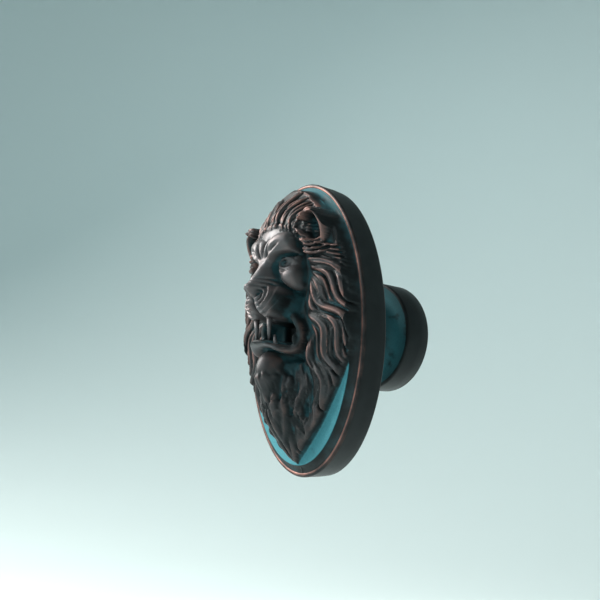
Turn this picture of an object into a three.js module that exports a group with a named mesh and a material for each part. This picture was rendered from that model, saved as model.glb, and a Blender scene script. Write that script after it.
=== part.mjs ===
import * as THREE from "three";

// An oval lion-head knob: a lion's head in high relief on an oval plate, on a turned foot.
// Millimetres, +Z up. The foot's back lies on the plane y = 0, the knob's axis is Y,
// and the lion looks along -Y. The origin is the centre of the foot's back.

// Driving dimensions of the plate
const PLATE_HEIGHT = 50; // long axis of the oval, over the bead
const PLATE_WIDTH = 30; // short axis of the oval, over the bead
const PLATE_BACK = 15.75; // distance of the plate's back from the wall
const WALL_THICKNESS = 4; // straight side wall, from the back up to the bead
const BEAD_RADIUS = 0.6; // half-round bead at the rim
const WALL_INSET = 0.2; // the bead stands proud of the side wall by this
const BEVEL_WIDTH = 1.9; // hollow bevel between the bead and the flat field
const BEVEL_RISE = 0.9; // the field stands proud of the bead's crest by this
const BEVEL_KNEE = { across: 0.6, down: 0.8 }; // where the bevel's hollow bends, as shares of it
const BACK_ARRIS = 0.45; // rubbed edge round the back

// Driving dimensions of the relief
const NOSE_RELIEF = 11.2; // nose tip above the field

// Driving dimensions of the foot
const FOOT_RADIUS = 9.75;
const FOOT_BAND = 4.9; // straight band next to the wall
const FOOT_EDGE = 0.45; // rounded edge between band and cove
const SHOULDER_RADIUS = 7.6; // the flat ring on the foot's front ends here, and the cove starts
const NECK_RADIUS = 5.6;
const NECK_FLARE = 0.9; // the neck opens by this where it meets the plate
const FLARE_LENGTH = 2.2;
const FLARE_KNEE = { out: 0.3, along: 0.5 }; // where the flare's hollow bends, as shares of it
const COVE_LENGTH = 3.4; // along the axis, from the shoulder to the bare neck
const SCREW_RADIUS = 2.05; // blind tapped hole for an M4 screw
const SCREW_DEPTH = 10;

// Fineness of the meshes
const FIELD_COLUMNS = 44;
const FIELD_ROWS = 68;
const FACE_CLOSENESS = 1.08; // 1 spaces the columns evenly, more draws them towards the face
const FOOT_SIDES = 36;
const COVE_STEPS = 5;

// Where the plate's levels lie, as distances from the wall
const beadCentre = PLATE_BACK + WALL_THICKNESS + BEAD_RADIUS;
const beadCrest = beadCentre + BEAD_RADIUS;
const fieldLevel = beadCrest + BEVEL_RISE;
const fieldHalfWidth = PLATE_WIDTH / 2 - BEVEL_WIDTH;
const fieldHalfHeight = PLATE_HEIGHT / 2 - BEVEL_WIDTH;

// The carving is laid out on a field of this size, and follows the real field as shares of it
const DRAWN = { halfWidth: 13.1, halfHeight: 23.1, noseTip: 5.4 };

// Shape helpers for the carving

const clamp = (t) => Math.min(1, Math.max(0, t));
const mix = (a, b, t) => a + (b - a) * t;

function ease(t) {
  const c = clamp(t);
  return c * c * (3 - 2 * c);
}

// The higher of two surfaces, with the crease between them filled over the given width
function join(a, b, fillet) {
  const h = clamp(0.5 + (0.5 * (a - b)) / fillet);
  return mix(b, a, h) + fillet * h * (1 - h);
}

// A smooth curve through [z, value] stations, listed from the top down
function follow(stations, z) {
  const last = stations.length - 1;
  if (z >= stations[0][0]) return stations[0][1];
  if (z <= stations[last][0]) return stations[last][1];
  const i = stations.findIndex((s) => s[0] <= z) - 1;
  const slope = (k) => {
    const a = stations[Math.max(0, k - 1)];
    const b = stations[Math.min(last, k + 1)];
    return (b[1] - a[1]) / (b[0] - a[0]);
  };
  const [z0, v0] = stations[i];
  const [z1, v1] = stations[i + 1];
  const span = z1 - z0;
  const t = (z - z0) / span;
  const rise = v0 * (1 + 2 * t) * (1 - t) ** 2 + v1 * t * t * (3 - 2 * t);
  return rise + span * (slope(i) * t * (1 - t) ** 2 - slope(i + 1) * t * t * (1 - t));
}

// Distance from an oval's centre, 1 on the oval itself
const ring = (x, z, d) => Math.hypot((x - d.x) / d.wide, (z - d.z) / d.tall);

// What a dome, a roll or a lock gives beside itself, well under any surface
const NOTHING = -20;

// A dome that stands on its oval like an egg
function dome(x, z, d) {
  const r = ring(x, z, d);
  return r < 1 ? d.level + d.lift * Math.sqrt(1 - r * r) : NOTHING;
}

// A swelling that fades out softly round its oval
const swell = (x, z, d) => d.lift * Math.exp(-(ring(x, z, d) ** 2));

// The nearest place on a bent line: how far away, and what share of the line comes before it
function nearest(points, x, z) {
  let gap = Infinity;
  let place = 0;
  for (let i = 1; i < points.length; i += 1) {
    const [ax, az] = points[i - 1];
    const dx = points[i][0] - ax;
    const dz = points[i][1] - az;
    const t = clamp(((x - ax) * dx + (z - az) * dz) / (dx * dx + dz * dz));
    const here = Math.hypot(x - ax - dx * t, z - az - dz * t);
    if (here < gap) {
      gap = here;
      place = (i - 1 + t) / (points.length - 1);
    }
  }
  return [gap, place];
}

const SPINE_STEPS = 20;

// A roll of flesh or skin along a curve through [x, z, height] points
function roll(stops, radius) {
  const curve = new THREE.CatmullRomCurve3(stops.map((p) => new THREE.Vector3(...p)));
  const points = curve.getPoints(SPINE_STEPS).map((p) => [p.x, p.y]);
  return { points, heights: curve.getPoints(SPINE_STEPS).map((p) => p.z), radius };
}

function rollHeight(r, x, z) {
  const [gap, place] = nearest(r.points, x, z);
  if (gap >= r.radius) return NOTHING;
  const i = Math.min(SPINE_STEPS - 1, Math.floor(place * SPINE_STEPS));
  const level = mix(r.heights[i], r.heights[i + 1], place * SPINE_STEPS - i);
  return level - r.radius + Math.sqrt(r.radius ** 2 - gap ** 2);
}

// A lock's spine runs from root to tip, bowed to one side and swaying in time with its neighbours
const WAVE = { length: 8.4, start: -2, fullness: 0.6 };

function lock(shape) {
  const { from, to, bow = 0, wave = 0 } = shape;
  const along = new THREE.Vector2(to[0] - from[0], to[1] - from[1]);
  const outward = new THREE.Vector2(-along.y, along.x).normalize();
  if (outward.x < 0) outward.negate();
  const points = [];
  for (let i = 0; i <= SPINE_STEPS; i += 1) {
    const t = i / SPINE_STEPS;
    const z = from[1] + along.y * t;
    const swing = Math.cos((2 * Math.PI * (z - WAVE.start)) / WAVE.length);
    const off = bow * Math.sin(Math.PI * t) + wave * swing * Math.sin(Math.PI * t) ** WAVE.fullness;
    points.push([from[0] + along.x * t + outward.x * off, z + outward.y * off]);
  }
  return { tipLift: shape.lift, ...shape, points };
}

// How far a lock rises over the hair under it: it comes up out of the hair and runs out to a point
const ROOT = { share: 0.35, narrow: 0.5, buried: 0.9, buriedShare: 0.22 };
const TIP = { power: 2.6, sharpness: 0.75 };
const LOCK_FALL = 1.4; // how softly a lock falls away to its sides

function lockRise(l, x, z) {
  const [gap, place] = nearest(l.points, x, z);
  const root = mix(ROOT.narrow, 1, ease(place / ROOT.share));
  const taper = root * (1 - place ** TIP.power) ** TIP.sharpness;
  const half = l.wide * taper;
  if (gap >= half) return NOTHING;
  const buried = ROOT.buried * (1 - ease(place / ROOT.buriedShare));
  const section = Math.cos((Math.PI / 2) * (gap / half)) ** LOCK_FALL;
  return (mix(l.lift, l.tipLift, place) * section - buried) * Math.sqrt(taper);
}

const highest = (locks, x, z) => Math.max(...locks.map((l) => lockRise(l, x, z)));

// count copies of a lock, each made from its place between 0 and 1
const combed = (count, shape) =>
  Array.from({ length: count }, (_, i) => lock(shape(i / (count - 1), i % 2)));

// The mane, drawn for one half and mirrored

const MANE = {
  halfWidth: 12.9,
  top: 23.7,
  bottom: 22.9,
  taper: 2.1, // how full the mane stays before it narrows to the beard's tip
  thickness: 0.6, // at its outline
  middle: 1.3, // thicker by this between the crown and the beard
  thinning: 5, // how suddenly it gets thin towards its outline
  least: 0.1, // square of the share of its thickness that is left at the outline
  edge: 0.8, // width of the step down to the field
};
const CROWN = { x: 0, z: 13.5, wide: 8.2, tall: 9.8, lift: 4.3 };
const BEARD = {
  top: -3,
  line: [[-4, 4.4], [-9.5, 6.6], [-12.9, 6.4], [-16, 4.9], [-19, 3], [-22.9, 0.4]],
  halfWidth: [[-4, 3.6], [-12, 3.9], [-22.9, 2.4]],
  over: 0.4, // share of the mane's own height that the beard lies on
  rise: 3, // it comes up to its full height over this
  fillet: 0.8,
};

function maneHalfWidth(z) {
  if (z > 0) return MANE.halfWidth * Math.sqrt(Math.max(0, 1 - (z / MANE.top) ** 2));
  return MANE.halfWidth * Math.max(0, 1 - (-z / MANE.bottom) ** MANE.taper);
}

// Side locks start along the face and fall in slow waves to the outline
const splineOf = (points) => new THREE.SplineCurve(points.map((p) => new THREE.Vector2(...p)));
const faceEdge = splineOf([[6.6, 10.6], [6, 7.2], [5.3, 3.6], [5, -0.4], [4.8, -4.4], [3.8, -8.4]]);
const maneEdge = splineOf([[12.7, 1.2], [12.5, -4.6], [11.3, -10], [8.9, -14.6], [6, -18.6], [1.8, -22.3]]);
const SIDE_LOCKS = { count: 7, wide: 1.5, lifts: [2.3, 2.7], bow: 0.85, wave: 0.65 };
const sideLocks = combed(SIDE_LOCKS.count, (t, odd) => ({
  from: faceEdge.getPoint(t).toArray(),
  to: maneEdge.getPoint(t).toArray(),
  bow: SIDE_LOCKS.bow,
  wave: SIDE_LOCKS.wave,
  wide: SIDE_LOCKS.wide,
  lift: SIDE_LOCKS.lifts[odd],
}));

// Beard locks part under the chin and come together again at the tip
const BEARD_LOCKS = [
  { from: [5.6, -11.8], to: [0.8, -22.3], bow: -2.3, wide: 1.2, lift: 2.4 },
  { from: [5.8, -11.8], to: [2, -21.6], bow: 2.3, wide: 1.2, lift: 2.2 },
  { from: [5.2, -13.4], to: [1.6, -22], bow: -0.2, wide: 1, lift: 2 },
  { from: [2.2, -11.4], to: [0.5, -21], bow: 0.9, wide: 1, lift: 1.8 },
  { from: [0.5, -11.6], to: [0.3, -22.6], bow: 0.2, wide: 0.9, lift: 1.5 },
];
const beardLocks = BEARD_LOCKS.map(lock);

// Crown locks are combed up and back from the hairline, their tips turned outwards
const crownRoots = splineOf([[0.5, 15.6], [3.5, 14.9], [6.4, 12.9]]);
const crownTips = splineOf([[2, 23.2], [5.6, 20.6], [8.6, 17.2]]);
const CROWN_LOCKS = { count: 6, wide: 1.2, lifts: [1.8, 2.3], tipLift: 1.5, bows: [-0.7, -1.4] };
const crownLocks = combed(CROWN_LOCKS.count, (t, odd) => ({
  from: crownRoots.getPoint(t).toArray(),
  to: crownTips.getPoint(t).toArray(),
  bow: mix(...CROWN_LOCKS.bows, t),
  wide: CROWN_LOCKS.wide,
  lift: CROWN_LOCKS.lifts[odd],
  tipLift: CROWN_LOCKS.tipLift,
}));

// The locks that sweep from the temple under the ear
const TEMPLE_LOCKS = [
  { from: [6, 12.4], to: [12.2, 7], bow: 1.6, wave: 0.3, wide: 1.1, lift: 2.3, tipLift: 1.2 },
  { from: [6.2, 11.4], to: [12.6, 4.4], bow: 2.2, wave: 0.3, wide: 1, lift: 2.1, tipLift: 1.2 },
];
const templeLocks = TEMPLE_LOCKS.map(lock);
const maneLocks = [...sideLocks, ...beardLocks, ...templeLocks];

// The ear is a rolled rim round a hollow, and one lock curls round its back
const EAR = { x: 8, z: 14.9, wide: 1.5, tall: 2.7, floor: 0.8, edge: 0.3 };
const EAR_CLEARING = { x: 8.7, z: 14.6, wide: 2.53, tall: 3.91, floor: 0.3, edge: 0.17 };
const EAR_RIM = roll(
  [
    [6.9, 16.9, 3.7],
    [7.6, 17.6, 3.3],
    [8.6, 16.9, 2.5],
    [9.1, 15.1, 1.9],
    [9.1, 13.3, 1.7],
    [8.5, 12.2, 1.9],
    [7.2, 12.3, 2.7],
  ],
  0.75,
);
const CURL = roll(
  [
    [8.6, 17.6, 1.7],
    [9.9, 15.6, 1.6],
    [10.5, 13.6, 1.6],
    [10.4, 12, 1.6],
    [9.4, 11.1, 1.8],
    [7.6, 11.3, 2.4],
    [6.4, 12.4, 3.2],
  ],
  0.75,
);

// A surface cut down to an oval's floor
const sunk = (height, x, z, d) => mix(height, d.floor, ease((1 - ring(x, z, d)) / d.edge));

function mane(s, z) {
  const spread = (s / MANE.halfWidth) ** 2 + (z / MANE.top) ** 2;
  const sheet = MANE.thickness + MANE.middle * Math.max(0, 1 - spread) + swell(s, z, CROWN);
  const across = Math.exp(-((s / follow(BEARD.halfWidth, z)) ** 2));
  const beard = follow(BEARD.line, z) * across * ease((BEARD.top - z) / BEARD.rise);
  const body = join(sheet, BEARD.over * sheet + beard, BEARD.fillet);
  const base = body * Math.sqrt(Math.max(MANE.least, 1 - spread ** MANE.thinning));
  let height = base + Math.max(0, highest(maneLocks, s, z));
  height = sunk(height, s, z, EAR_CLEARING);
  height = Math.max(height, rollHeight(CURL, s, z));
  height = sunk(height, s, z, EAR);
  height = Math.max(height, rollHeight(EAR_RIM, s, z));
  return height * ease((maneHalfWidth(z) - s) / MANE.edge);
}

// The face, drawn for one half and mirrored

const FACE_HALF_WIDTH = [
  [17, 3.2],
  [15.4, 5.5],
  [12.9, 6.1],
  [10.9, 5.8],
  [9.4, 5.7],
  [7.3, 5.6],
  [5, 4.9],
  [2.6, 4.6],
  [0.4, 4.9],
  [-2.6, 5.3],
  [-5.2, 4.8],
  [-7.6, 3],
];
const HAIRLINE = { top: 16.7, fall: 0.06 };
const CHEEK_PLANE = 2.9;
const FILLETS = { skull: 0.6, brow: 1.1, cheek: 0.5, nose: 0.6, pads: 1, muzzle: 0.5 };
const SKULL = { x: 0, z: 11.2, wide: 6.6, tall: 8.2, level: 2, lift: 4.7 };
const BROW = roll(
  [
    [0.8, 10.8, 7.9],
    [2.1, 12, 7.9],
    [3.5, 12.4, 7.4],
    [4.7, 11.8, 6.2],
    [5.3, 10.6, 4.8],
  ],
  2.1,
);
const FROWN = { x: 0, z: 11.8, wide: 0.4, tall: 1.8, lift: -0.6 };
const SOCKET = { x: 2.8, z: 9.5, wide: 1.9, tall: 1.1, lift: -2.6 };
const CHEEK = { x: 3.8, z: 7.3, wide: 2.5, tall: 2.5, level: 2.2, lift: 3.1 };
const HOLLOW = { x: 4.6, z: 3.9, wide: 1.4, tall: 1.5, lift: -0.7 };
const EYE = { x: 3.1, z: 9.35, wide: 1.6, tall: 1.15, level: 4.5, lift: 1.9 };
const UPPER_LID = roll([[1.8, 9.2, 6.8], [2.5, 10.3, 7], [3.6, 10.5, 6.5], [4.7, 9.6, 5.4]], 0.7);

function upperFace(s, z) {
  let height = join(dome(s, z, SKULL), CHEEK_PLANE, FILLETS.skull);
  height = join(height, rollHeight(BROW, s, z), FILLETS.brow);
  height += swell(s, z, FROWN) + swell(s, z, SOCKET);
  height = join(height, dome(s, z, CHEEK), FILLETS.cheek) + swell(s, z, HOLLOW);
  return Math.max(height, dome(s, z, EYE), rollHeight(UPPER_LID, s, z));
}

// The nose is a wedge that widens to its tip, and the muzzle two balls with a groove between them
const NOSE_LINE = [
  [14.5, 4.6],
  [12, 6.2],
  [9.6, 7.8],
  [7.6, 9.1],
  [5.9, 10.5],
  [5.1, 10.9],
  [4.2, 10.5],
  [2.8, 9.4],
  [1, 6],
];
const NOSE_HALF_WIDTH = [[12, 1.5], [8, 1.9], [5.6, 2.3], [4.4, 2.3], [2.8, 1.2]];
const NOSE_DROP = { depth: 2.6, power: 2.4 };
const PAD = { x: 1.9, z: 2.7, wide: 2.4, tall: 2.8, level: 6.4, lift: 3.8 };
const PAD_SIDE = { x: 2, z: 2.9, wide: 3.2, tall: 3.5, level: 2.6, lift: 4.4 };
const PHILTRUM = { x: 0, z: 2, wide: 0.3, tall: 2, lift: -1 };
const NOSTRIL = { x: 1.15, z: 3.9, wide: 0.4, tall: 0.5, lift: -1.1 };

function face(s, z) {
  const flank = NOSE_DROP.depth * (s / follow(NOSE_HALF_WIDTH, z)) ** NOSE_DROP.power;
  const height = join(upperFace(s, z), follow(NOSE_LINE, z) - flank, FILLETS.nose);
  const muzzle = join(dome(s, z, PAD), dome(s, z, PAD_SIDE), FILLETS.pads);
  return join(height, muzzle, FILLETS.muzzle) + swell(s, z, PHILTRUM) + swell(s, z, NOSTRIL);
}

// The open mouth is cut into the jaw, deepest in the middle, and one long lip runs round it
const JAW_PLANE = 3;
const JAW = { x: 0, z: -4, wide: 5, tall: 3.9, level: 2.3, lift: 5.9 };
const MOUTH = { halfWidth: 4.3, top: 0.4, fall: 0.15, bottom: -4.4, floor: 2.2, edge: 0.5 };
const THROAT = { halfWidth: 1.7, floor: 0.6, edge: 0.4 };
const LIP = roll(
  [
    [3.6, 0.6, 4.6],
    [4.5, -1.1, 4.2],
    [4.7, -3.2, 3.9],
    [4.2, -4.9, 4.9],
    [3.2, -4.7, 7],
    [1.9, -4.2, 8.4],
    [0, -4.6, 8.9],
  ],
  0.95,
);
const CHIN = { x: 0, z: -8.2, wide: 2.9, tall: 4.3, level: 3.4, lift: 5.1 };
const JAW_FILLETS = { jaw: 0.6, lip: 0.35, chin: 0.8 };

function jaw(s, z) {
  const front = join(dome(s, z, JAW), JAW_PLANE, JAW_FILLETS.jaw);
  const roof = MOUTH.top - MOUTH.fall * s;
  const upDown = ease((z - MOUTH.bottom) / MOUTH.edge) * ease((roof - z) / MOUTH.edge);
  const inside = upDown * ease((MOUTH.halfWidth - s) / MOUTH.edge);
  const floor = mix(MOUTH.floor, THROAT.floor, ease((THROAT.halfWidth - s) / THROAT.edge));
  return mix(front, floor, inside);
}

// The face stands in the mane inside its own outline
const FACE_BOTTOM = -7.4;
const FACE_EDGE = { beside: 0.6, top: 0.5, bottom: 1.2 };
const JAW_TOP = 0.3; // the face gives way to the jaw from here down
const JAW_BLEND = 0.6;

// Height of the carving over the field at a point of the drawn field
function carving(x, z) {
  const s = Math.abs(x);
  const hairline = HAIRLINE.top - HAIRLINE.fall * s * s;
  const beside = ease((follow(FACE_HALF_WIDTH, z) - s) / FACE_EDGE.beside);
  const upDown = ease((hairline - z) / FACE_EDGE.top) * ease((z - FACE_BOTTOM) / FACE_EDGE.bottom);
  const upper = ease((z - JAW_TOP) / JAW_BLEND + 1);
  const features = mix(jaw(s, z), face(s, z), upper);
  let height = mix(mane(s, z), features, beside * upDown);
  height = join(height, rollHeight(LIP, s, z), JAW_FILLETS.lip);
  height = join(height, dome(s, z, CHIN), JAW_FILLETS.chin);
  return height + Math.max(0, highest(crownLocks, s, z));
}

// The carving's mean round each point of the mesh, so that a lock isn't broken up between its points
const SOFTENING = { x: 0.3, z: 0.34, weights: [1, 2, 1] };

function softened(x, z) {
  const { weights } = SOFTENING;
  let sum = 0;
  weights.forEach((across, i) => {
    weights.forEach((along, j) => {
      sum += across * along * carving(x + (i - 1) * SOFTENING.x, z + (j - 1) * SOFTENING.z);
    });
  });
  return sum / weights.reduce((total, w) => total + w) ** 2;
}

const drawnRelief = softened(0, DRAWN.noseTip);

function relief(x, z) {
  const drawnX = (x / fieldHalfWidth) * DRAWN.halfWidth;
  const drawnZ = (z / fieldHalfHeight) * DRAWN.halfHeight;
  return (softened(drawnX, drawnZ) / drawnRelief) * NOSE_RELIEF;
}

// The medallion: the carved field, the moulded rim and the flat back as one closed surface

function medallionGeometry() {
  const positions = [];
  const faces = [];
  const put = (x, y, z) => positions.push(x, y, z) / 3 - 1;
  const at = (i) => new THREE.Vector3().fromArray(positions, 3 * i);

  // A square grid drawn out to the field's oval, closer over the face than over the mane
  const closer = (u) => Math.sign(u) * Math.abs(u) ** FACE_CLOSENESS;
  const grid = [];
  for (let row = 0; row <= FIELD_ROWS; row += 1) {
    const v = (2 * row) / FIELD_ROWS - 1;
    grid.push([]);
    for (let column = 0; column <= FIELD_COLUMNS; column += 1) {
      const u = closer((2 * column) / FIELD_COLUMNS - 1);
      const x = fieldHalfWidth * u * Math.sqrt(1 - (v * v) / 2);
      const z = fieldHalfHeight * v * Math.sqrt(1 - (u * u) / 2);
      const edge = row % FIELD_ROWS === 0 || column % FIELD_COLUMNS === 0;
      grid[row].push(put(x, -fieldLevel - (edge ? 0 : relief(x, z)), z));
    }
  }
  for (let row = 0; row < FIELD_ROWS; row += 1) {
    for (let column = 0; column < FIELD_COLUMNS; column += 1) {
      const a = grid[row][column];
      const b = grid[row][column + 1];
      const c = grid[row + 1][column + 1];
      const d = grid[row + 1][column];
      const straight = at(a).distanceTo(at(c)) <= at(b).distanceTo(at(d));
      if (straight) faces.push(a, b, c, a, c, d);
      else faces.push(a, b, d, b, c, d);
    }
  }

  // The field's edge, anticlockwise seen from the front
  const border = [];
  for (let i = 0; i < FIELD_COLUMNS; i += 1) border.push(grid[0][i]);
  for (let i = 0; i < FIELD_ROWS; i += 1) border.push(grid[i][FIELD_COLUMNS]);
  for (let i = FIELD_COLUMNS; i > 0; i -= 1) border.push(grid[FIELD_ROWS][i]);
  for (let i = FIELD_ROWS; i > 0; i -= 1) border.push(grid[i][0]);

  // The rim's section: how far in from the oval, and how far from the wall
  const section = [
    [mix(BEAD_RADIUS, BEVEL_WIDTH, BEVEL_KNEE.across), fieldLevel - BEVEL_KNEE.down * BEVEL_RISE],
    [BEAD_RADIUS, beadCrest],
    [0, beadCentre],
    [WALL_INSET, beadCentre - BEAD_RADIUS],
    [WALL_INSET, PLATE_BACK + BACK_ARRIS],
    [WALL_INSET + BACK_ARRIS, PLATE_BACK],
  ];
  let ring = border;
  for (const [inset, level] of section) {
    const next = border.map((i) => {
      const p = at(i);
      const angle = Math.atan2(p.z / fieldHalfHeight, p.x / fieldHalfWidth);
      const x = (PLATE_WIDTH / 2 - inset) * Math.cos(angle);
      const z = (PLATE_HEIGHT / 2 - inset) * Math.sin(angle);
      return put(x, -level, z);
    });
    ring.forEach((a, i) => {
      const j = (i + 1) % ring.length;
      faces.push(a, next[i], next[j], a, next[j], ring[j]);
    });
    ring = next;
  }
  const centre = put(0, -PLATE_BACK, 0);
  ring.forEach((a, i) => faces.push(centre, ring[(i + 1) % ring.length], a));

  const geometry = new THREE.BufferGeometry();
  geometry.setAttribute("position", new THREE.Float32BufferAttribute(positions, 3));
  geometry.setIndex(faces);
  geometry.computeVertexNormals();
  return geometry;
}

// The foot, turned about the knob's axis, with the screw hole in its back

function footGeometry() {
  const shoulder = FOOT_BAND + FOOT_EDGE;
  const reach = SHOULDER_RADIUS - NECK_RADIUS;
  const point = (radius, level) => new THREE.Vector2(radius, -level);
  const profile = [
    point(0, PLATE_BACK),
    point(NECK_RADIUS + NECK_FLARE, PLATE_BACK),
    point(NECK_RADIUS + FLARE_KNEE.out * NECK_FLARE, PLATE_BACK - FLARE_KNEE.along * FLARE_LENGTH),
    point(NECK_RADIUS, PLATE_BACK - FLARE_LENGTH),
  ];
  for (let i = 0; i <= COVE_STEPS; i += 1) {
    const turn = (i / COVE_STEPS) * (Math.PI / 2);
    const radius = NECK_RADIUS + reach * (1 - Math.cos(turn));
    profile.push(point(radius, shoulder + COVE_LENGTH * (1 - Math.sin(turn))));
  }
  profile.push(
    point(FOOT_RADIUS - FOOT_EDGE, shoulder),
    point(FOOT_RADIUS, FOOT_BAND),
    point(FOOT_RADIUS, 0),
    point(SCREW_RADIUS, 0),
    point(SCREW_RADIUS, SCREW_DEPTH),
    point(0, SCREW_DEPTH),
  );
  return new THREE.LatheGeometry(profile, FOOT_SIDES);
}

// Materials and assembly

const bronze = new THREE.MeshStandardMaterial({
  name: "oil-rubbed bronze",
  color: 0x3a3532,
  roughness: 0.45,
  metalness: 0.8,
});

const medallion = new THREE.Mesh(medallionGeometry(), bronze);
medallion.name = "medallion";

const foot = new THREE.Mesh(footGeometry(), bronze);
foot.name = "foot";

const knob = new THREE.Group();
knob.name = "lion_head_knob";
knob.add(medallion, foot);

export default knob;
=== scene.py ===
# %% [markdown]
# # A lion-head knob in aged bronze
# The object is an oval furniture knob, 50 mm tall. A lion's head stands in high relief on an oval
# plate, and a turned foot carries the plate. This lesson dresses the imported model: it carves the
# relief finely enough for the light to run along every lock of hair, turns the foot, and gives both
# the finish of an oil-rubbed bronze that has gone teal in its hollows.

# %% Load the frame
import math

import bmesh
import bpy
import numpy as np
from mathutils import Matrix, Vector


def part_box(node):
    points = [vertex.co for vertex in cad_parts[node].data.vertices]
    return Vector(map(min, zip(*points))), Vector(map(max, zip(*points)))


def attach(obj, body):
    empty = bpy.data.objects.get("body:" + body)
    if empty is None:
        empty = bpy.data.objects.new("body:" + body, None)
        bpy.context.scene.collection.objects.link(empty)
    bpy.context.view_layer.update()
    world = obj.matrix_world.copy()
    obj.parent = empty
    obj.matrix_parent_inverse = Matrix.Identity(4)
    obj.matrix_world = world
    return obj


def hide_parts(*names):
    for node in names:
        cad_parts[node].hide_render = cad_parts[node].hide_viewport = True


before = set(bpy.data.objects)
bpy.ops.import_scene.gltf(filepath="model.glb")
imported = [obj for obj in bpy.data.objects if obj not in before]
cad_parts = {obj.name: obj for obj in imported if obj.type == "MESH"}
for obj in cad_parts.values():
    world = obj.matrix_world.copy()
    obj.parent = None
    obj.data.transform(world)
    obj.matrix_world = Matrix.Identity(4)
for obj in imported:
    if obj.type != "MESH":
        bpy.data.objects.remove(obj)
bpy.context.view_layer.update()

MM = 0.001

# %% [markdown]
# ## What the frame gives
# The plate's oval, its back and the foot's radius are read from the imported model, so the dressed
# knob can't drift away from it. The mouldings of the rim are a maker's own sizes, in millimetres.

# %% Read the plate's and the foot's sizes
plate_low, plate_high = (np.array(c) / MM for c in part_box("medallion"))
foot_low, foot_high = (np.array(c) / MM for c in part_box("foot"))
HALF_WIDTH = (plate_high[0] - plate_low[0]) / 2
HALF_HEIGHT = (plate_high[2] - plate_low[2]) / 2
PLATE_BACK = -plate_high[1]
FOOT_RADIUS = (foot_high[0] - foot_low[0]) / 2
print("oval", round(2 * HALF_WIDTH, 2), "x", round(2 * HALF_HEIGHT, 2), "mm")
print("foot", round(2 * FOOT_RADIUS, 2), "mm across")

# %% Mouldings of the rim
WALL_THICKNESS = 4.0
BEAD_RADIUS = 0.6
WALL_INSET = 0.2
BEVEL_WIDTH = 1.9
BEVEL_RISE = 0.9
BACK_ARRIS = 0.45
EDGE_ROUND = 0.42
BEAD_CREST = PLATE_BACK + WALL_THICKNESS + 2 * BEAD_RADIUS
FIELD_LEVEL = BEAD_CREST + BEVEL_RISE
FIELD_HALF_WIDTH = HALF_WIDTH - BEVEL_WIDTH
FIELD_HALF_HEIGHT = HALF_HEIGHT - BEVEL_WIDTH
NOSE_RELIEF = -plate_low[1] - FIELD_LEVEL
print("field", round(FIELD_LEVEL, 2), "mm over the foot's back")
print("nose", round(NOSE_RELIEF, 2), "mm over the field")

# %% [markdown]
# ## Carving on a height map
# A relief like this one leaves its mould in one pull, so nearly all of it can be written as a height
# over the flat field. A height map is also the quickest way to sculpt in code: each lock, lid or fold
# is a small formula laid over the last. Half of the head is carved and the other half mirrored.

# %% Lay out the height map
STEP = 0.1
MAP_WIDTH = 14.6
MAP_HEIGHT = 24.6
columns = np.arange(0, MAP_WIDTH + STEP, STEP)
rows = np.arange(-MAP_HEIGHT, MAP_HEIGHT + STEP, STEP)
S, Z = np.meshgrid(columns, rows)
print("height map of", S.shape, "points for half the head")

# %% Blending helpers


def mix(a, b, t):
    """The value a share t of the way from a to b."""
    return a + (b - a) * t


def ease(t):
    """A step from 0 to 1 with a soft start and a soft end."""
    c = np.clip(t, 0, 1)
    return c * c * (3 - 2 * c)


def join(a, b, fillet):
    """The higher of two surfaces, with the crease between them filled over a width."""
    h = np.clip(0.5 + 0.5 * (a - b) / fillet, 0, 1)
    return mix(b, a, h) + fillet * h * (1 - h)


def follow(stations, z):
    """A smooth curve through (z, value) stations."""
    zs, vs = np.array(sorted(stations)).T
    slopes = np.gradient(vs, zs)
    i = np.clip(np.searchsorted(zs, z) - 1, 0, len(zs) - 2)
    span = zs[i + 1] - zs[i]
    t = np.clip((z - zs[i]) / span, 0, 1)
    rise = vs[i] * (1 + 2 * t) * (1 - t) ** 2 + vs[i + 1] * t * t * (3 - 2 * t)
    return rise + span * (slopes[i] * t * (1 - t) ** 2 - slopes[i + 1] * t * t * (1 - t))


print("half way along an ease is", float(ease(0.5)))

# %% Rounded shapes
FAR_BELOW = -20.0


def ring(at, size):
    """Distance from an oval's centre, 1 on the oval itself."""
    return np.hypot((S - at[0]) / size[0], (Z - at[1]) / size[1])


def swell(at, size, lift):
    """A bell-shaped swelling, or a hollow where the lift is negative."""
    return lift * np.exp(-ring(at, size) ** 2)


def dome(at, size, level, lift):
    """The upper half of an ellipsoid that stands on a level, and nothing round it."""
    r = ring(at, size)
    return np.where(r < 1, level + lift * np.sqrt(np.maximum(0, 1 - r * r)), FAR_BELOW)


def height_at(height, x, z):
    """The map's height at the point nearest to a place."""
    return float(height[np.abs(rows - z).argmin(), np.abs(columns - x).argmin()])


print("a dome 3 mm high:", height_at(dome((0, 0), (5, 5), 0, 3), 0, 0))

# %% Paths over the map


def smooth_path(stops, steps):
    """Points of a Catmull-Rom curve through the stops, whatever they hold."""
    p = np.array(stops, float)
    p = np.vstack([2 * p[0] - p[1], p, 2 * p[-1] - p[-2]])
    out = []
    for i in range(1, len(p) - 2):
        for t in np.arange(steps) / steps:
            a, b, c, d = p[i - 1 : i + 3]
            bend, twist = 2 * a - 5 * b + 4 * c - d, 3 * b - a - 3 * c + d
            out.append(0.5 * (2 * b + (c - a) * t + bend * t**2 + twist * t**3))
    return np.vstack([out, p[-2]])


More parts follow.
